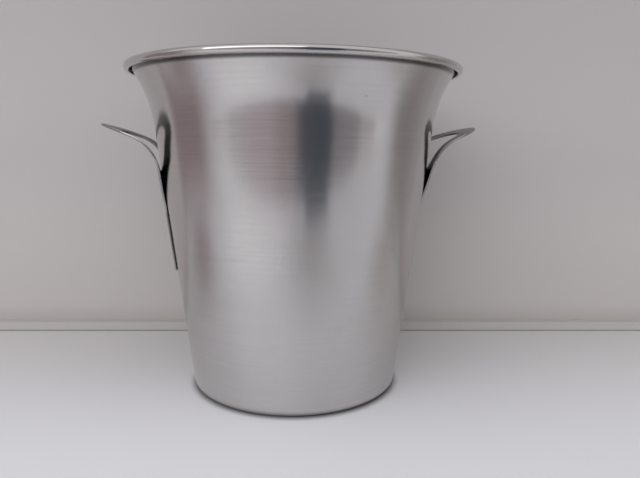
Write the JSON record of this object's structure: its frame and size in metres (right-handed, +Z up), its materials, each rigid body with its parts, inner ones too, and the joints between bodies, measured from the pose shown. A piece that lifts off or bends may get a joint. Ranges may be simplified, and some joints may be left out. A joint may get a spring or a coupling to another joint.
{
  "type": "champagne bucket",
  "caption": "Open conical bucket of brushed sheet steel with a flared mouth, a rolled rim and loop handles welded to its wall, for chilling a bottle in ice.",
  "frame": {"origin": "centre of the base, on the plane that the bucket stands on", "axes": "+Z up along the bucket's axis, +X through the right handle, -X through the left handle"},
  "size_m": [0.234, 0.205, 0.2],
  "materials": {
    "shell_steel": "stainless steel, satin brushed round the bucket's axis, brighter on the rolled rim",
    "handle_steel": "stainless steel sheet, finely brushed along the handle, with edges rubbed bright",
    "weld_steel": "stainless steel spot welds, ground nearly flush and slightly dull"
  },
  "bodies": {
    "root": {"bucket_body": "shell_steel", "left_handle": "handle_steel", "right_handle": "handle_steel", "left_handle_welds": "weld_steel", "right_handle_welds": "weld_steel"}
  },
  "joints": []
}
